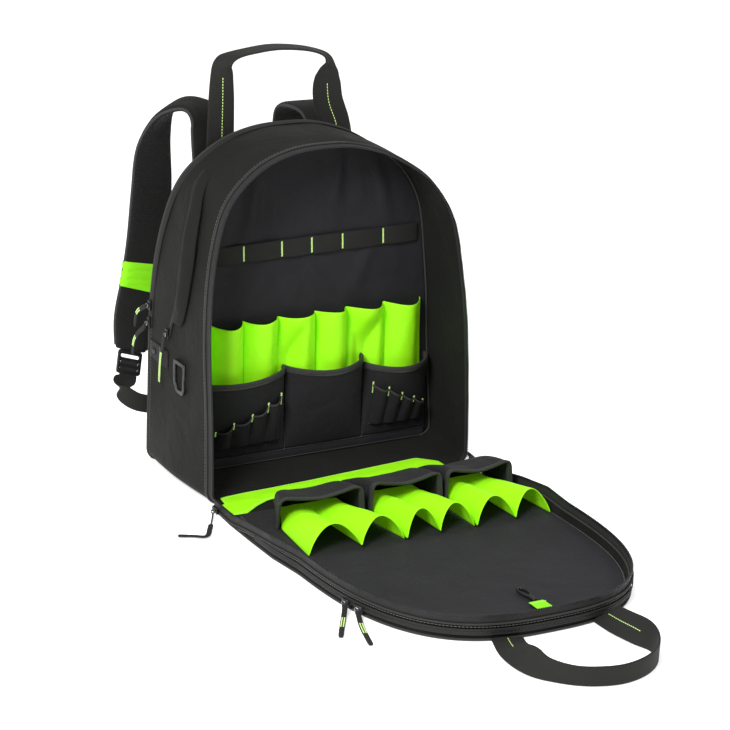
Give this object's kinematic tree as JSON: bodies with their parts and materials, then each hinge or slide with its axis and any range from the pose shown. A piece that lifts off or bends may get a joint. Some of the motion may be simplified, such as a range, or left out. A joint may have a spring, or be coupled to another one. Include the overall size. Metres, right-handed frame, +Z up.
{
  "type": "tool backpack",
  "caption": "Arched tool backpack standing open, its zipped front panel laid flat before it, with pleated tool tunnels, pockets, slots, handles and straps.",
  "frame": {"origin": "middle of the body's flat base, on the ground", "axes": "+Z up, -Y from the body towards the laid-down front panel, +X to the right seen from the front"},
  "size_m": [0.5202, 1.0442, 0.5665],
  "materials": {
    "black_cloth": "plain weave, coated inside",
    "inner_cloth": "smooth coated weave",
    "binding": "grosgrain tape",
    "lime_cloth": "bright smooth coated weave",
    "webbing": "ribbed flat webbing",
    "zip": "coil zip on woven tape",
    "plastic": "moulded, slightly glossy",
    "metal": "plated, worn"
  },
  "bodies": {
    "root": {"body_gusset": "black_cloth", "back_panel": "black_cloth", "divider": "inner_cloth", "main_zip_body": "zip", "rear_zip": "zip", "loop_strip": "webbing", "pleats_left": "lime_cloth", "pleats_middle": "lime_cloth", "pleats_right": "lime_cloth", "pocket_left": "inner_cloth", "binding_left": "binding", "pocket_middle": "inner_cloth", "binding_middle": "binding", "pocket_right": "inner_cloth", "binding_right": "binding", "tool_slots_left": "inner_cloth", "tool_slots_right": "inner_cloth", "hem_band": "inner_cloth", "hinge_strip": "lime_cloth", "lid_bottom_gusset": "black_cloth", "lid_panel": "black_cloth", "lid_gusset": "black_cloth", "main_zip_lid": "zip", "lid_pocket_zip": "zip", "lid_organizer": "inner_cloth", "lid_pleats_left": "lime_cloth", "lid_pleats_middle": "lime_cloth", "lid_pleats_right": "lime_cloth", "lid_pocket_left": "inner_cloth", "lid_binding_left": "binding", "lid_pocket_middle": "inner_cloth", "lid_binding_middle": "binding", "lid_pocket_right": "inner_cloth", "lid_binding_right": "binding", "key_tab": "lime_cloth", "key_hook": "plastic", "top_handle": "webbing", "lid_handle": "webbing", "strap_left": "black_cloth", "strap_band_left": "lime_cloth", "ladder_lock_left": "plastic", "strap_webbing_left": "webbing", "strap_right": "black_cloth", "strap_band_right": "lime_cloth", "ladder_lock_right": "plastic", "strap_webbing_right": "webbing", "side_zip": "zip", "side_pocket_flap": "black_cloth", "side_tab": "webbing", "side_rivet": "metal", "side_ring": "metal", "main_pull_left": "plastic", "main_pull_right": "plastic", "lid_pull_left": "plastic", "lid_pull_right": "plastic", "rear_pull_upper": "plastic", "rear_pull_lower": "plastic", "side_pull": "plastic"}
  },
  "joints": []
}
